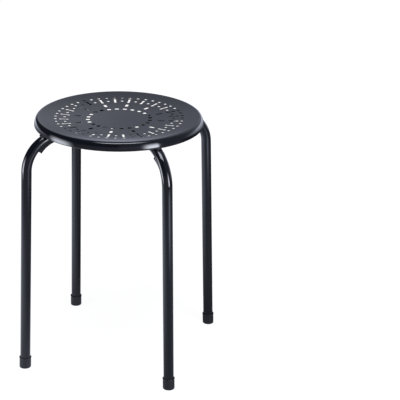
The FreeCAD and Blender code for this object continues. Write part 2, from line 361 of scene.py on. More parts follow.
def new_piece(name, patches, material, nodes):
    """A mesh object from patches. It rides on the stool's one body and stands for the named nodes."""
    points, faces = welded(patches)
    if six_volumes(points, faces) < 0:
        faces = faces[:, ::-1]
    corners = [tuple(dict.fromkeys(face)) for face in faces.tolist()]
    corners = [face for face in corners if len(face) > 2]
    mesh = bpy.data.meshes.new(name)
    mesh.from_pydata(points.tolist(), [], corners)
    mesh.shade_smooth()
    mesh.set_sharp_from_angle(angle=math.radians(SHARP_DEG))
    mesh.materials.append(material)
    piece = bpy.data.objects.new(name, mesh)
    scene.collection.objects.link(piece)
    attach(piece, "root")
    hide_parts(*nodes)
    border = len(mesh.edges) * 2 - sum(len(face) for face in corners)
    print(f"{name}: {len(corners)} faces, edges that lack a face: {border}")
    return piece


print(f"edges of more than {SHARP_DEG} degrees stay sharp")

# %% [markdown]
# ## Lines and arcs
# A die presses sheet metal, and a bender bends tube, into straight runs and arcs. So outlines and profiles
# are chained from these two. A spline through a few points would be quicker to write, but it swells a
# little between them, and gloss shows that at once.

# %% Lines and arcs
def arc(centre, radius, start_deg, end_deg, steps):
    """Points on an arc, both ends included: the centre plus the radius times cosine and sine."""
    turn = np.radians(np.linspace(start_deg, end_deg, steps + 1))
    return np.stack([centre[0] + radius * np.cos(turn), centre[1] + radius * np.sin(turn)], axis=-1)


def straight(start, end, steps):
    """Points at even steps on a line, both ends included."""
    return np.linspace(start, end, steps + 1)


def chain(*runs):
    """Runs of points one after another, each starting where the last one ended."""
    return np.concatenate([run[:-1] for run in runs] + [runs[-1][-1:]])


print("a quarter turn in 3 steps:", np.round(arc((0, 0), 1, 0, 90, 3), 2).tolist())

# %% [markdown]
# ## The dish
# The seat is a very shallow dish: flat in the middle, then rising along a large arc that runs smoothly into
# the rounded shoulder. The wall below is one wide arc that leans in towards its top, as a pressed pan's does
# so that it leaves the die. The highlights on the rim show this. A flat sheet with a lattice over it could
# be bent to the dish, but a lattice only comes near the shape. One function gives the sheet's exact height
# at any radius, and also below its upper face, so the holes, the disc and the rim all meet without a gap.

# %% Dish
WALL_ARC = 24 * MM
LEAF_LEAN_DEG = 7
HEM_Z = RIM_BOTTOM + HEM_RADIUS
SHOULDER_Z = STOOL_HEIGHT - SHOULDER
wall_top = math.asin((SHOULDER_Z - HEM_Z) / (WALL_ARC - SHOULDER))
WALL_TOP_DEG = math.degrees(wall_top)
SHOULDER_RING = SEAT_RADIUS - WALL_ARC + (WALL_ARC - SHOULDER) * math.cos(wall_top)
PAN_Z = STOOL_HEIGHT - DISH_DEPTH
dish_run = SHOULDER_RING - DISH_FLAT_RADIUS
dish_rise = PAN_Z - SHOULDER_Z
DISH_RADIUS = (dish_run ** 2 + dish_rise ** 2 - SHOULDER ** 2) / (2 * (SHOULDER - dish_rise))
DISH_TILT_DEG = math.degrees(math.atan2(dish_run, PAN_Z + DISH_RADIUS - SHOULDER_Z))


def dish_z(radius, drop):
    """Height of the sheet: an arc about a point high over the flat's edge, moved down by drop."""
    run = np.maximum(radius - DISH_FLAT_RADIUS, 0)
    return PAN_Z + DISH_RADIUS - np.sqrt((DISH_RADIUS + drop) ** 2 - run ** 2)


def on_sheet(radius, angle, drop):
    """Places on the sheet from a radius, an angle round the seat and a depth under its upper face."""
    height = dish_z(radius, drop) + 0 * angle
    return np.stack([radius * np.cos(angle), radius * np.sin(angle), height], axis=-1)


print(f"dish radius {DISH_RADIUS:.3f} m, tilt at the shoulder {DISH_TILT_DEG:.1f} degrees")

# %% [markdown]
# ## The holes
# Five rings of punched holes: small squares, bars, bones with dots between their waists, and a ring of dots.
# Cutting them with booleans gives ragged triangles that spoil the gloss. Instead each hole sits in a cell of
# its own, and rows of quads run from the cell's border in to the hole, over its rounded edge, down its wall
# and back out underneath. Every hole is the same in all four quarters, so one quarter describes it.

# %% Hole outlines
SQUARE_DEPTH, SQUARE_WIDTH, SQUARE_CORNER = 6.6 * MM, 7.2 * MM, 1.4 * MM
BAR_LENGTH, BAR_WIDTH = 11.6 * MM, 5.4 * MM
BONE_LENGTH, BONE_END, BONE_WAIST = 12.4 * MM, 5.0 * MM, 3.4 * MM
DOT_WIDTH = 5.2 * MM
CORNER_STEPS = 3
BAR_SPLIT_DEG, BONE_SPLIT_DEG = 50, 60


def square_quarter(ends, sides):
    """From the middle of the outer side, round the corner, to the middle of the long side."""
    x, y, corner = SQUARE_DEPTH / 2, SQUARE_WIDTH / 2, SQUARE_CORNER
    middle = (x - corner, y - corner)
    return chain(straight((x, 0), (x, y - corner), ends - CORNER_STEPS),
                 arc(middle, corner, 0, 90, CORNER_STEPS * 2),
                 straight((x - corner, y), (0, y), sides - CORNER_STEPS))


def slot_quarter(half_length, radius, half_waist, split_deg, ends, sides):
    """Round the end circle to where it meets the waist, then straight to the middle. Up to the split
    the points belong to the cell's end, and after it to its side."""
    round_steps = sides * 2 // 3
    neck_deg = 180 - math.degrees(math.asin(half_waist / radius))
    neck = half_length - math.sqrt(radius ** 2 - half_waist ** 2)
    return chain(arc((half_length, 0), radius, 0, split_deg, ends),
                 arc((half_length, 0), radius, split_deg, neck_deg, round_steps),
                 straight((neck, half_waist), (0, half_waist), sides - round_steps))


def bar_quarter(ends, sides):
    """A slot whose waist is as wide as its ends."""
    radius = BAR_WIDTH / 2
    return slot_quarter(BAR_LENGTH / 2 - radius, radius, radius, BAR_SPLIT_DEG, ends, sides)


def bone_quarter(ends, sides):
    """A slot whose waist is narrower than its ends."""
    return slot_quarter(BONE_LENGTH / 2, BONE_END / 2, BONE_WAIST / 2, BONE_SPLIT_DEG, ends, sides)


def dot_quarter(ends, sides):
    """A quarter circle in even steps."""
    split_deg = 90 * ends / (ends + sides)
    return chain(arc((0, 0), DOT_WIDTH / 2, 0, split_deg, ends),
                 arc((0, 0), DOT_WIDTH / 2, split_deg, 90, sides))


def whole_outline(quarter):
    """The four mirrored quarters as one loop, anticlockwise from the middle of the outer end."""
    back = quarter[::-1]
    quarters = [quarter, back * (-1, 1), quarter * (-1, -1), back * (1, -1)]
    return np.concatenate([part[:-1] for part in quarters])


def swollen(outline, amount):
    """The outline moved outwards, square to the line between each point's neighbours."""
    along = np.roll(outline, -1, axis=0) - np.roll(outline, 1, axis=0)
    outward = np.stack([along[:, 1], -along[:, 0]], axis=-1)
    return outline + amount * outward / np.linalg.norm(outward, axis=1, keepdims=True)


print(f"a bone is {(BONE_LENGTH + BONE_END) / MM:.1f} mm long and {BONE_WAIST / MM:.1f} mm at its waist")

# %% [markdown]
# ## The cells
# A punch drags the sheet's upper edge down a little before it cuts, and the paint rounds it further. That
# rolled edge is what catches the light round every hole, so it gets four rows of its own.

# %% Cells round the holes
EDGE_ROLL = 0.35 * MM
EDGE_EASE = 0.08 * MM
EDGE_MARGIN = 0.4 * MM
ANGLE_STEPS = 384
roll_turn = np.radians([0, 30, 60, 90])
ROLL_ROWS = [(EDGE_ROLL * (1 - math.sin(turn)), EDGE_ROLL * (1 - math.cos(turn))) for turn in roll_turn]
EDGE_ROWS = ([(EDGE_ROLL + EDGE_MARGIN, 0.0)] + ROLL_ROWS
             + [(0.0, SHEET - EDGE_EASE), (EDGE_EASE, SHEET), (EDGE_MARGIN, SHEET)])


def cell_border(inner, outer, half_angle, ends, sides):
    """The cell's border as radii and angles, anticlockwise from the middle of its outer side."""
    return chain(straight((outer, 0), (outer, half_angle), ends),
                 straight((outer, half_angle), (inner, half_angle), sides * 2),
                 straight((inner, half_angle), (inner, -half_angle), ends * 2),
                 straight((inner, -half_angle), (outer, -half_angle), sides * 2),
                 straight((outer, -half_angle), (outer, 0), ends))[:-1]


def punched_cells(quarter, ring_radius, inner, outer, cells, sides, angles):
    """One patch for each hole of a ring: the border, the rows of its edge, and the border underneath.
    A row is the outline moved outwards by its amount, on the sheet, as deep as its drop."""
    ends = ANGLE_STEPS // cells // 2
    outline = whole_outline(quarter(ends, sides))
    border = cell_border(inner, outer, math.pi / cells, ends, sides)
    radii, turns, drops = [border[:, 0]], [border[:, 1]], [0.0]
    for amount, drop in EDGE_ROWS:
        edge = swollen(outline, amount)
        radii.append(np.hypot(ring_radius + edge[:, 0], edge[:, 1]))
        turns.append(np.arctan2(edge[:, 1], ring_radius + edge[:, 0]))
        drops.append(drop)
    radii, turns = np.array(radii + [border[:, 0]]), np.array(turns + [border[:, 1]])
    drops = np.array(drops + [SHEET])[:, None]
    return [patch(on_sheet(radii, turns + angle, drops)) for angle in angles]


def plain_cells(inner, outer, cells, sides, angles):
    """Both faces of the sheet where a cell has no hole."""
    half = math.pi / cells
    turns = np.linspace(-half, half, ANGLE_STEPS // cells + 1)
    radii = np.linspace(outer, inner, sides * 2 + 1)[:, None]
    made = []
    for angle in angles:
        made.append(patch(on_sheet(radii, turns + angle, 0.0), closed=False))
        made.append(patch(on_sheet(radii[::-1], turns + angle, SHEET), closed=False))
    return made


print(f"{len(EDGE_ROWS)} rows of quads round each hole")

# %% [markdown]
# ## The rings
# The pattern repeats 24 times. Squares and bones lie on the half steps, dots on the whole ones, and only
# every other bar is punched. An Array modifier about the axis could repeat one slice, but each ring has its
# own count, so every ring gets its cells by itself. They end halfway to the holes of the next ring.

# %% Rings of holes
PATTERN = 24
SQUARE_RING = 54.8 * MM
BAR_RING = SQUARE_RING + 19.7 * MM
BONE_RING = BAR_RING + 22.5 * MM
MID_DOT_RING = BONE_RING - 0.8 * MM
OUTER_DOT_RING = BONE_RING + 14.8 * MM

disc_edge = SQUARE_RING - SQUARE_DEPTH
bars_inner = (SQUARE_RING + SQUARE_DEPTH / 2 + BAR_RING - BAR_LENGTH / 2) / 2
bone_reach = (BONE_LENGTH + BONE_END) / 2
bones_inner = (BAR_RING + BAR_LENGTH / 2 + BONE_RING - bone_reach) / 2
bones_outer = (BONE_RING + bone_reach + OUTER_DOT_RING - DOT_WIDTH / 2) / 2
rim_start = OUTER_DOT_RING * 2 - bones_outer

step = 2 * math.pi / PATTERN
whole_steps = np.arange(PATTERN) * step
half_steps = whole_steps + step / 2
all_steps = np.arange(PATTERN * 2) * step / 2

SIDES, SHORT_SIDES = 6, 4
bars, bones, dots = (bars_inner, bones_inner), (bones_inner, bones_outer), (bones_outer, rim_start)
punched = punched_cells(square_quarter, SQUARE_RING, disc_edge, bars_inner, PATTERN, SIDES, half_steps)
punched += punched_cells(bar_quarter, BAR_RING, *bars, PATTERN, SIDES, half_steps[1::2])
punched += plain_cells(*bars, PATTERN, SIDES, half_steps[0::2])
punched += punched_cells(bone_quarter, BONE_RING, *bones, PATTERN * 2, SIDES, half_steps)
punched += punched_cells(dot_quarter, MID_DOT_RING, *bones, PATTERN * 2, SIDES, whole_steps)
punched += punched_cells(dot_quarter, OUTER_DOT_RING, *dots, PATTERN * 2, SHORT_SIDES, all_steps)
borders = [disc_edge, bars_inner, bones_inner, bones_outer, rim_start]
print("cell borders in mm:", ", ".join(f"{radius / MM:.1f}" for radius in borders))

# %% [markdown]
# ## The seat pan
# Inside the squares lies a plain disc, and outside the last dots the sheet runs over the shoulder, down the
# wall and round the folded hem. Both are profiles turned about the stool's axis. The Spin tool does the
# same, but here the turned rings have to meet the cells' borders point for point. Their rows run inwards on
# the upper face, as the cells' rows do, so that all faces point out of the sheet.

# %% Seat pan
around = np.arange(ANGLE_STEPS) * 2 * math.pi / ANGLE_STEPS
disc_rings = [disc_edge, disc_edge - 4 * MM, DISH_FLAT_RADIUS, 30 * MM, 18 * MM, 6 * MM, 0]
disc_radii = np.array(disc_rings)[:, None]
COARSE, MIDDLING, FINE = 6, 8, 14
disc = [patch(on_sheet(disc_radii, around, 0.0)), patch(on_sheet(disc_radii[::-1], around, SHEET))]


def rim_profile():
    """Radius and height from under the last dots out to the hem, up the wall and over the shoulder."""
    dish_centre = (DISH_FLAT_RADIUS, PAN_Z + DISH_RADIUS)
    shoulder_centre, wall_centre = (SHOULDER_RING, SHOULDER_Z), (SEAT_RADIUS - WALL_ARC, HEM_Z)
    hem_centre, leaf_lean = (HEM_RING, HEM_Z), math.radians(LEAF_LEAN_DEG)
    leaf_round = SHEET / 2
    leaf_side, leaf_length = -(HEM_GAP / 2 + leaf_round), HEM_HEIGHT - HEM_RADIUS - leaf_round
    leaf_top = (HEM_RING + leaf_side * math.cos(leaf_lean) - leaf_length * math.sin(leaf_lean),
                HEM_Z + leaf_side * math.sin(leaf_lean) + leaf_length * math.cos(leaf_lean))
    under_start = -90 + math.degrees(math.asin((rim_start - DISH_FLAT_RADIUS) / (DISH_RADIUS + SHEET)))
    upper_start = -90 + math.degrees(math.asin((rim_start - DISH_FLAT_RADIUS) / DISH_RADIUS))
    shoulder_top = 90 + DISH_TILT_DEG
    under = [
        arc(dish_centre, DISH_RADIUS + SHEET, under_start, -90 + DISH_TILT_DEG, COARSE),
        arc(shoulder_centre, SHOULDER - SHEET, shoulder_top, WALL_TOP_DEG, MIDDLING),
        arc(wall_centre, WALL_ARC - SHEET, WALL_TOP_DEG, 0, COARSE)[1:],
        arc(hem_centre, HEM_GAP / 2, 0, LEAF_LEAN_DEG - 180, COARSE)[1:],
        arc(leaf_top, leaf_round, LEAF_LEAN_DEG, LEAF_LEAN_DEG + 180, COARSE),
    ]
    upper = [
        arc(hem_centre, HEM_RADIUS, LEAF_LEAN_DEG - 180, 0, FINE),
        arc(wall_centre, WALL_ARC, 0, WALL_TOP_DEG, FINE)[1:],
        arc(shoulder_centre, SHOULDER, WALL_TOP_DEG, shoulder_top, FINE)[1:],
        arc(dish_centre, DISH_RADIUS, -90 + DISH_TILT_DEG, upper_start, COARSE),
    ]
    return np.concatenate(under + upper)


def turned_profile(profile):
    """A profile carried round the stool's axis: x is the radius times cosine, y the radius times sine."""
    radii, heights = profile[:, :1], profile[:, 1:]
    return np.stack([radii * np.cos(around), radii * np.sin(around), heights + 0 * around], axis=-1)


rim = [patch(turned_profile(rim_profile()))]
new_piece("seat_pan_sheet", punched + disc + rim, seat_paint, ["seat_pan"])

# %% [markdown]
# ## The hoops
# Each hoop is one round tube, bent twice. Where the two cross, each is pressed half flat, so that they lie in
# each other and stay level. A curve with a round bevel would be the quick way to a tube, but its section
# stays the same all along. Here a section is carried along a path, and the path also says how far it is
# pressed and how oval it is. Half a hoop is enough, because the other half mirrors it.

# %% Tube path
PRESSED_HEIGHT = TUBE_RADIUS
PRESSED_FLAT = math.pi * TUBE_RADIUS / 2
FLAT_HALF = (PRESSED_FLAT + PRESSED_HEIGHT) / 2 + CROSSING_MARGIN
PRESS_END = FLAT_HALF + PRESS_LENGTH
TUBE_END_GAP = 4 * MM
BEND_OVAL = 0.025
FLAT_ROWS, PRESS_ROWS, RUN_ROWS, BEND_ROWS, LEG_ROWS = 4, 19, 9, 45, 24


def even_s(share):
    """From 0 to 1 with a level start and end: three times the square less twice the cube."""
    share = np.clip(share, 0, 1)
    return share * share * (3 - 2 * share)


def half_path():
    """From the crossing to the foot: x and z of the middle, the heading's angle, how pressed, how oval.
    The path is a level run, an arc about the bend's centre and a straight leg."""
    level = np.concatenate([np.linspace(0, FLAT_HALF, FLAT_ROWS)[:-1],
                            np.linspace(FLAT_HALF, PRESS_END, PRESS_ROWS)[:-1],
                            np.linspace(PRESS_END, BEND_START, RUN_ROWS)[:-1]])
    turn = np.linspace(math.pi / 2, LEG_SPLAY, BEND_ROWS)
    foot = (FOOT_X - TUBE_END_GAP * math.tan(LEG_SPLAY), TUBE_END_GAP)
    leg = straight((LEG_TOP_X, LEG_TOP_Z), foot, LEG_ROWS)[1:]
    x = np.concatenate([level, BEND_START + BEND_RADIUS * np.cos(turn), leg[:, 0]])
    z = np.concatenate([0 * level + RUN_Z, BEND_Z + BEND_RADIUS * np.sin(turn), leg[:, 1]])
    heading = np.concatenate([0 * level, turn - math.pi / 2, 0 * leg[:, 0] + LEG_SPLAY - math.pi / 2])
    pressed = 1 - even_s((x - FLAT_HALF) / PRESS_LENGTH)
    oval = BEND_OVAL * np.sin(np.clip(-heading / (math.pi / 2 - LEG_SPLAY), 0, 1) * math.pi) ** 0.5
    return x, z, heading, pressed, oval


print(f"the tube is round {PRESS_END / MM:.1f} mm from the crossing and bends at {BEND_START / MM:.1f} mm")

# %% [markdown]
# ## The section
# The press keeps the tube's girth: a quarter of the round becomes each flat, and a quarter each half-round
# side. Scaling the circle would be simpler, but that makes an ellipse, and a pressed tube is flat on top. So
# each point has a place on the circle and one on the pressed shape, and moves straight from one to the
# other. A bent tube also goes slightly oval, narrower in the plane of its bend.

# %% Tube section
OVAL_WIDENING = 0.7
TUBE_COLUMNS = 64


def tube_section(pressed, oval):
    """Across and up of a section: the circle's place times one minus pressed, plus the flat shape's
    place times pressed. The oval takes its share off the circle's height and widens it."""
    turn = (np.arange(TUBE_COLUMNS) + 0.5) / TUBE_COLUMNS * 2 * math.pi - math.pi / 4
    quarter = np.floor((turn + math.pi / 4) / (math.pi / 2))
    within = (turn + math.pi / 4) / (math.pi / 2) - quarter
    side_turn = math.pi / 2 - within * math.pi
    end_radius = PRESSED_HEIGHT / 2
    flat_across = PRESSED_FLAT * (within - 0.5)
    side_across = PRESSED_FLAT / 2 + end_radius * np.cos(side_turn)
    across = np.choose(quarter.astype(int), [flat_across, side_across, -flat_across, -side_across])
    up = np.choose(quarter.astype(int), [end_radius + 0 * turn, end_radius * np.sin(side_turn),
                                         -end_radius + 0 * turn, -end_radius * np.sin(side_turn)])
    round_across, round_up = TUBE_RADIUS * np.sin(turn), TUBE_RADIUS * np.cos(turn)
    pressed, oval = pressed[:, None], oval[:, None]
    return (round_across * (1 + oval * OVAL_WIDENING) * (1 - pressed) + across * pressed,
            round_up * (1 - oval) * (1 - pressed) + up * pressed)


print(f"pressed, the tube is {PRESSED_HEIGHT / MM:.0f} mm high with flats of {PRESSED_FLAT / MM:.1f} mm")

# %% [markdown]
# ## Two hoops
# The upper hoop runs along X and is pressed upwards. The lower one is the same tube pressed downwards and
# given a quarter turn. A rotated copy of the object would do as well, but every piece here keeps its place
# in its mesh, so the arrays are turned. Their end rings close to a point inside the foot caps.

# %% Hoops
def hoop_places(side):
    """The whole hoop along X as a grid: each point lies up along the path's normal and across along Y.
    side is 1 where it is pressed upwards and -1 downwards."""
    x, z, heading, pressed, oval = half_path()
    across, up = tube_section(pressed, oval)
    lift = side * PRESSED_HEIGHT / 2 * pressed[:, None]
    ahead = x[:, None] - (up + lift) * np.sin(heading)[:, None]
    height = z[:, None] + (up + lift) * np.cos(heading)[:, None]
    half = np.stack([ahead, across, height], axis=-1)
    end = half[-1:].mean(axis=1, keepdims=True) + 0 * half[-1:]
    half = np.concatenate([half, end])
    mirrored = half[:0:-1] * (-1, 1, 1)
    return np.concatenate([mirrored, half])


def quarter_turned(places, turns):
    """Places turned about the stool's axis by quarter turns. Each turns x, y into -y, x."""
    x, y, z = places[..., 0], places[..., 1], places[..., 2]
    for _ in range(turns):
        x, y = -y, x
    return np.stack([x, y, z], axis=-1)


new_piece("hoop_upper_tube", [patch(hoop_places(1))], tube_paint, ["hoop_upper"])
new_piece("hoop_lower_tube", [patch(quarter_turned(hoop_places(-1), 1))], tube_paint, ["hoop_lower"])

# %% [markdown]
# ## The welds
# A hand-held torch leaves a bead of overlapping scales. The bead is a long drop whose radius swells and
# shrinks with each scale, and the scales bulge forwards in the middle. Its ends fade into the tube. Eight
# beads could be sculpted, but with a formula one number gives each its own unsteadiness.

# %% Weld beads
SEAT_BEAD_RADIUS, SEAT_BEAD_LENGTH = 2.1 * MM, 9 * MM
CROSSING_BEAD_RADIUS, CROSSING_BEAD_LENGTH = 2.0 * MM, 12 * MM
SEAT_BEAD_BOW = 0.6 * MM
SCALE_PITCH, SCALE_BULGE = 1.5 * MM, 0.5
SCALE_SWELL, HAND_SWELL, HAND_WAVES = 0.07, 0.06, 7
SEAT_HAND_STEP, CROSSING_HAND_STEP = 1.7, 2.3
BEAD_ROWS, BEAD_COLUMNS = 61, 32


def bead(radius, length, bow, hand):
    """A drop along Y: radius times the root of one minus the fourth power, rippled by a cosine for the
    scales and by a slow sine for the unsteady hand. The bow lowers its ends."""
    share = np.sin(np.linspace(-math.pi / 2, math.pi / 2, BEAD_ROWS))[:, None]
    turn = np.arange(BEAD_COLUMNS) / BEAD_COLUMNS * 2 * math.pi
    along = share * length / 2
    scale_phase = (along - SCALE_BULGE * radius * np.cos(turn)) / SCALE_PITCH * 2 * math.pi
    lumpy = 1 + SCALE_SWELL * np.cos(scale_phase) + HAND_SWELL * np.sin(along / length * HAND_WAVES + hand)
    size = radius * np.sqrt(np.maximum(1 - share ** 4, 0)) * lumpy
    return np.stack([size * np.cos(turn), along + 0 * turn, size * np.sin(turn) - bow * share ** 2], axis=-1)


seat_beads, crossing_beads = [], []
crossing_side = PRESSED_FLAT / 2 + PRESSED_HEIGHT / 2 - CROSSING_BEAD_RADIUS / 2
for index in range(4):
    drop = bead(SEAT_BEAD_RADIUS, SEAT_BEAD_LENGTH, SEAT_BEAD_BOW, index * SEAT_HAND_STEP)
    drop = drop + (SEAT_RADIUS + SEAT_BEAD_RADIUS / 4, 0, RIM_BOTTOM)
    seat_beads.append(patch(quarter_turned(drop, index)))
    level = RUN_Z + CROSSING_BEAD_RADIUS / 2 * (-1 if index % 2 == 0 else 1)
    corner = bead(CROSSING_BEAD_RADIUS, CROSSING_BEAD_LENGTH, 0, index * CROSSING_HAND_STEP)
    corner = corner + (crossing_side, 0, level)
    crossing_beads.append(patch(quarter_turned(corner, index)))

new_piece("seat_weld_beads", seat_beads, tube_paint, ["seat_welds"])
new_piece("crossing_weld_beads", crossing_beads, tube_paint, ["crossing_welds"])

# %% [markdown]
# ## The stacking pads
# A moulded saddle sits inside each bend, thin at one end and thick at the other, so that the next stool's
# paint never touches steel. Cut from a thicker tube it would be as thick at both ends. So its inner face
# follows the tube, and its outer face is the same kind of round, moved towards the bend's centre by an
# amount that shrinks along the pad.

# %% Stacking pads
PAD_THICK, PAD_THIN = 5.8 * MM, 1.8 * MM
PAD_WIDTH = 9.5 * MM
PAD_ARC_DEG = 36
PAD_CLEARANCE = 0.05 * MM
UPPER_THICK_DEG, LOWER_THICK_DEG = 44, 65.5
PAD_EDGE, PAD_EDGE_DEG = 0.45 * MM, 40
PAD_ROWS, PAD_COLUMNS = 25, 19


def pad_patches(thick_end_deg, direction, turns):
    """The six sides of a bent block: inner and outer face, two flanks and two ends. A face's distance
    from the bend's centre is the bend's radius less the root of the round's radius squared minus across
    squared, and on the outer face also less the drift."""
    share = np.linspace(0, 1, PAD_ROWS)[:, None]
    turn = np.radians(thick_end_deg + direction * PAD_ARC_DEG * share)
    across = np.linspace(-PAD_WIDTH / 2, PAD_WIDTH / 2, PAD_COLUMNS)
    drift = (PAD_THICK - PAD_THIN) * (1 - share)
    inner = BEND_RADIUS - np.sqrt((TUBE_RADIUS + PAD_CLEARANCE) ** 2 - across ** 2) + 0 * share
    outer = BEND_RADIUS - drift - np.sqrt((TUBE_RADIUS + PAD_THIN) ** 2 - across ** 2)
    faces = []
    for radius in (inner, outer):
        places = np.stack([BEND_START + radius * np.cos(turn), across + 0 * radius,
                           BEND_Z + radius * np.sin(turn)], axis=-1)
        faces.append(quarter_turned(places, turns))
    block = np.stack(faces)
    sides = [block[0, ::-1], block[1], block[:, :, 0], block[::-1, :, -1], block[::-1, 0], block[:, -1]]
    return [patch(side, closed=False) for side in sides]


print(f"a pad covers {PAD_ARC_DEG} degrees of its bend")

# %% [markdown]
# ## Placing the pads
# On the upper hoop the thick end is the lower one, and on the lower hoop the upper one. A narrow bevel rounds
# the block's edges afterwards, as a mould does. It only acts where two faces meet at a steep angle.

# %% Place the pads
legs = [("right", UPPER_THICK_DEG, 1), ("rear", LOWER_THICK_DEG, -1),
        ("left", UPPER_THICK_DEG, 1), ("front", LOWER_THICK_DEG, -1)]
for turns, (leg, thick_end_deg, direction) in enumerate(legs):
    sides = pad_patches(thick_end_deg, direction, turns)
    saddle = new_piece("pad_saddle_" + leg, sides, pad_plastic, ["stack_pad_" + leg])
    rounding = saddle.modifiers.new("moulded_edge", "BEVEL")
    rounding.width = PAD_EDGE
    rounding.segments = 3
    rounding.limit_method = "ANGLE"
    rounding.angle_limit = math.radians(PAD_EDGE_DEG)

# %% [markdown]
# ## The foot caps
# A rubber sleeve over each leg's end, with a bead round its mouth and a rounded edge at the floor. A turned
# sleeve that leans with its leg would stand on one edge. So the rings are level at the floor and square to
# the leg from a little above it, and turn from one to the other between.

# %% Foot caps
CAP_RADIUS = 10.4 * MM
CAP_BORE = 9.1 * MM
CAP_LENGTH = 20 * MM
CAP_FLOOR = 4 * MM
CAP_LIP = 0.6 * MM
CAP_EDGE = 1.2 * MM
CAP_COLUMNS = 72


def cap_profile():
    """Radius and height: the sole, its rounded edge, the wall, the bead, the bore and its bottom."""
    return np.concatenate([
        straight((0, 0), (CAP_RADIUS - CAP_EDGE, 0), 4)[:-1],
        arc((CAP_RADIUS - CAP_EDGE, CAP_EDGE), CAP_EDGE, -90, 0, 8),
        straight((CAP_RADIUS, CAP_EDGE), (CAP_RADIUS, CAP_LENGTH - 2 * CAP_LIP), 8)[1:],
        arc((CAP_RADIUS, CAP_LENGTH - CAP_LIP), CAP_LIP, -90, 90, 8)[1:],
        arc((CAP_BORE + CAP_LIP / 2, CAP_LENGTH - CAP_LIP / 2), CAP_LIP / 2, 90, 180, 4),
        straight((CAP_BORE, CAP_FLOOR), (0, CAP_FLOOR), 3),
    ])


def cap_places():
    """The profile turned round the leg. A ring's tilt is the leg's times the even S of its height."""
    profile = cap_profile()
    radii, heights = profile[:, :1], profile[:, 1:]
    turn = np.arange(CAP_COLUMNS) / CAP_COLUMNS * 2 * math.pi
    lean = LEG_SPLAY * even_s(heights / CAP_FLOOR)
    x = FOOT_X - heights * math.tan(LEG_SPLAY) + radii * np.cos(turn) * np.cos(lean)
    y = radii * np.sin(turn) + 0 * heights
    z = heights + radii * np.cos(turn) * np.sin(lean)
    return np.stack([x, y, z], axis=-1)


for turns, (leg, _, _) in enumerate(legs):
    cap = [patch(quarter_turned(cap_places(), turns))]
    new_piece("foot_sleeve_" + leg, cap, foot_rubber, ["foot_cap_" + leg])

# %% [markdown]
# ## The studio
# Black gloss shows its surroundings, so the room is built as the reflections ask. Directions are given as
# seen by the camera: right, away from it, and up. The room also has to know which rays ask. Light Path tells:
# camera rays see plain white in every direction, rays that left a glossy or clear surface see the room that
# the gloss should show, and matt surfaces get a plain grey fill besides the light of the lamps.

# %% Directions
heading = math.radians(HEADING_DEG)
RIGHT = Vector((math.cos(heading), -math.sin(heading), 0))
AWAY = Vector((math.sin(heading), math.cos(heading), 0))
UP = Vector((0, 0, 1))


def studio(right, away, up):
    """A direction or a place: so much to the camera's right, so much away from it, and so much up."""
    return RIGHT * right + AWAY * away + UP * up


def towards(azimuth_deg, elevation_deg):
    """A direction from the stool: azimuth 0 is away from the camera, 90 is to its right."""
    azimuth, elevation = math.radians(azimuth_deg), math.radians(elevation_deg)
    return studio(math.sin(azimuth) * math.cos(elevation), math.cos(azimuth) * math.cos(elevation),
                  math.sin(elevation))


CAMERA_OUTPUT, GLOSSY_OUTPUT, CLEAR_OUTPUT = 0, 3, 6


def camera_rays(start):
    """1 for the rays that come straight from the camera."""
    return start.node("LightPath", out=CAMERA_OUTPUT)


def mirrored_rays(start):
    """1 for the rays that left a glossy or a clear surface."""
    return start.node("LightPath", out=GLOSSY_OUTPUT) + start.node("LightPath", out=CLEAR_OUTPUT)


print("the camera looks along", [round(part, 3) for part in AWAY])

# %% [markdown]
# ## The backdrop and the room
# The gloss mirrors a backdrop behind the stool that is bright at the floor and fades upwards. A real sheet
# there would also show to the camera, so the world draws it: a colour ramp over the height of each
# direction, and even steps that cut it off at the sides. The room is dim elsewhere, a little less so on the
# right and low down behind the camera, and its tint is cool.

# %% Backdrop and room
WHITE = (1.0, 1.0, 1.0, 1.0)
FILL = (0.15, 0.15, 0.15, 1.0)
ROOM_TINT = (1.80, 1.90, 2.30)
ROOM_GREY, SIDE_GREY, FRONT_GREY = 0.02, 0.1, 0.13
BACKDROP_STOPS = [(0.0, 0.9), (0.09, 0.62), (0.14, 0.22), (0.2, 0.155), (0.34, 0.2), (0.5, 0.17), (0.8, 0.14)]
DIRECTION_OUTPUT = 0

world = bpy.data.worlds.new("studio_world")
scene.world = world
world.use_nodes = True
start = Flow(world.node_tree)
direction = start.node("TexCoord", out=DIRECTION_OUTPUT)
rise = direction.along(UP)
backdrop = rise.node("ValToRGB", {"stops": BACKDROP_STOPS}, {0: rise})
backdrop = backdrop * direction.along(AWAY).smooth(0.1, 0.8) * direction.along(RIGHT).smooth(-0.5, -0.12)
side = direction.along(RIGHT).smooth(-0.02, 0.16) * SIDE_GREY
front = direction.along(-AWAY).smooth(0.3, 0.9) * (1 - rise.smooth(0.12, 0.3)) * FRONT_GREY
room = backdrop + side + front + ROOM_GREY
tinted = start.node("VectorMath", {"operation": "SCALE"}, {0: ROOM_TINT, "Scale": room})
lit_room = mirrored_rays(start).blend(FILL, tinted)
feed(camera_rays(start).blend(lit_room, WHITE), world.node_tree.nodes["Background"], "Color")
print("room nodes:", len(world.node_tree.nodes))
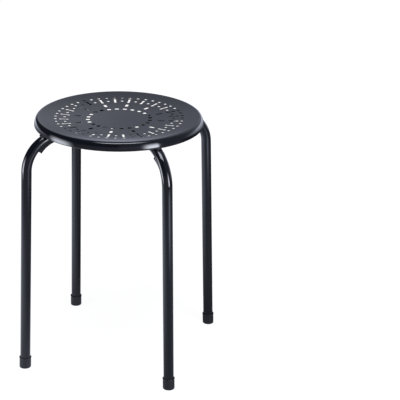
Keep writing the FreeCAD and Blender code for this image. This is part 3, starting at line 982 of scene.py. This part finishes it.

# %% [markdown]
# ## The floor
# A pale floor whose colour carries the stool's soft shadow. To the camera most of its white is its own
# light, which grows a little with the distance, so that it meets the white room without an edge. In the gloss
# it is dark but for four glows in its own emission: painted light on the left, painted light near the
# camera, a glow far back under the backdrop, and a painted pool of light on the right at the foot of an
# upright lamp.

# %% Floor
FLOOR_HALF = 6.0
FLOOR_GAP = 0.2 * MM
SEEN_PAINT, MIRRORED_PAINT = (0.12, 0.12, 0.12, 1), (0.1, 0.105, 0.12, 1)
MIRRORED_TINT = (0.88, 0.94, 1.12, 1)
SEEN_LIGHT, SEEN_RISE = 0.94, 0.06
LEFT_GLOW, LEFT_FALL = 1.2, 0.9
NEAR_GLOW, NEAR_FALL = 0.29, 0.26
LAMP_POOL, LAMP_POOL_PLACE = 2.2, studio(0.84, -0.82, 0)
floor_mesh = bpy.data.meshes.new("studio_floor")
floor_mesh.from_pydata(
    [(sx * FLOOR_HALF, sy * FLOOR_HALF, -FLOOR_GAP) for sx, sy in ((-1, -1), (1, -1), (1, 1), (-1, 1))],
    [], [(0, 1, 2, 3)])
floor = bpy.data.objects.new("studio_floor", floor_mesh)
scene.collection.objects.link(floor)

floor_paint, start, place, shader = new_material("studio_floor")
seen = camera_rays(start)
shader.inputs["Roughness"].default_value = 0.9
shader.inputs["Specular IOR Level"].default_value = 0.0
feed(seen.blend(MIRRORED_TINT, WHITE), shader, "Emission Color")
feed(seen.blend(MIRRORED_PAINT, SEEN_PAINT), shader, "Base Color")
reach = place.distance((0, 0, 0))
# Painted light: in the gloss the floor's own emission paints light on the left and near the camera, standing
# in for the lamps' light on the floor.
painted_left_glow = place.along(-RIGHT).smooth(-0.15, 0.5) * place.along(AWAY).smooth(-1.2, 0.1)
painted_left_glow = painted_left_glow * (LEFT_GLOW - LEFT_FALL * reach.smooth(0.75, 1.15))
painted_near_glow = NEAR_GLOW - NEAR_FALL * place.along(AWAY).smooth(-0.1, 0.3)
far_glow = place.along(AWAY).smooth(1.2, 2.4)
# A painted pool of light at the foot of the right lamp, in the floor's emission.
painted_lamp_pool = LAMP_POOL * (1 - place.distance(LAMP_POOL_PLACE).smooth(0.08, 0.5))
seen_light = seen * (SEEN_LIGHT + SEEN_RISE * reach.smooth(0.25, 1.2))
mirrored_light = mirrored_rays(start) * (painted_left_glow + painted_near_glow + far_glow + painted_lamp_pool)
feed(seen_light + mirrored_light, shader, "Emission Strength")
floor_mesh.materials.append(floor_paint)
print(f"floor {FLOOR_HALF * 2:.0f} m wide")

# %% [markdown]
# ## The softboxes
# Four boxes draw the shapes. A wide one overhead, towards the camera, lights the seat's front edge. One on
# either side, broad on the left and upright on the right, gives the tubes and the rim their bright edges. A
# dim panel behind, near the backdrop, lets the seat get paler towards the left. Glowing panels would do too,
# but area lights give less noise and are easily kept from the camera. Real softboxes fade at their edges,
# and so do these: the place on the box shapes the light, from 0 to 1 both ways by Geometry's Parametric.

# %% Softboxes
DAYLIGHT = (0.93, 0.97, 1.08)
PARAMETRIC_OUTPUT = 5


def softbox(name, aim, azimuth_deg, elevation_deg, distance, width, height, radiance, fades):
    """An area light facing its aim. Blender wants its whole power: radiance x area x pi. The fades are
    the shares of its size over which it dims towards its left, its right, its foot and its top, as
    seen from behind the box."""
    lamp = bpy.data.lights.new(name, "AREA")
    lamp.shape = "RECTANGLE"
    lamp.size, lamp.size_y = width, height
    lamp.energy = radiance * width * height * math.pi
    lamp.color = DAYLIGHT
    lamp.use_nodes = True
    place = Flow(lamp.node_tree).node("NewGeometry", out=PARAMETRIC_OUTPUT)
    across, up = [place.node("SeparateXYZ", None, {0: place}, out=out) for out in (0, 1)]
    left, right, foot, top = fades
    across_glow = across.smooth(0, left) * (1 - across).smooth(0, right)
    glow = across_glow * up.smooth(0, foot) * (1 - up).smooth(0, top)
    feed(glow, lamp.node_tree.nodes["Emission"], "Strength")
    box = bpy.data.objects.new(name, lamp)
    scene.collection.objects.link(box)
    out = towards(azimuth_deg, elevation_deg)
    box.matrix_world = (Matrix.Translation(aim + out * distance)
                        @ (-out).to_track_quat("-Z", "Y").to_matrix().to_4x4())
    box.visible_camera = False
    print(f"{name}: {width} x {height} m, {lamp.energy:.1f} W")


seat_middle = Vector((0, 0, STOOL_HEIGHT))
softbox("overhead_box", seat_middle, azimuth_deg=172, elevation_deg=73, distance=1.8,
        width=1.7, height=0.85, radiance=9.5, fades=(0.3, 0.3, 0.1, 0.1))
softbox("left_strip", Vector((0, 0, 0.40)), azimuth_deg=-104, elevation_deg=0, distance=1.2,
        width=0.98, height=0.76, radiance=9.8, fades=(0.45, 0.4, 0.12, 0.6))
softbox("right_strip", Vector((0, 0, 0.63)), azimuth_deg=137, elevation_deg=0, distance=1.35,
        width=0.62, height=0.96, radiance=17.0, fades=(0.5, 0.15, 0.12, 0.75))
softbox("rear_panel", seat_middle, azimuth_deg=-15, elevation_deg=23, distance=1.6,
        width=0.8, height=0.76, radiance=0.34, fades=(0.5, 0.3, 0.3, 0.6))

# %% [markdown]
# ## The view
# The Standard view shows the colours as they are lit, with no film curve over them.

# %% View
scene.view_settings.view_transform = "Standard"
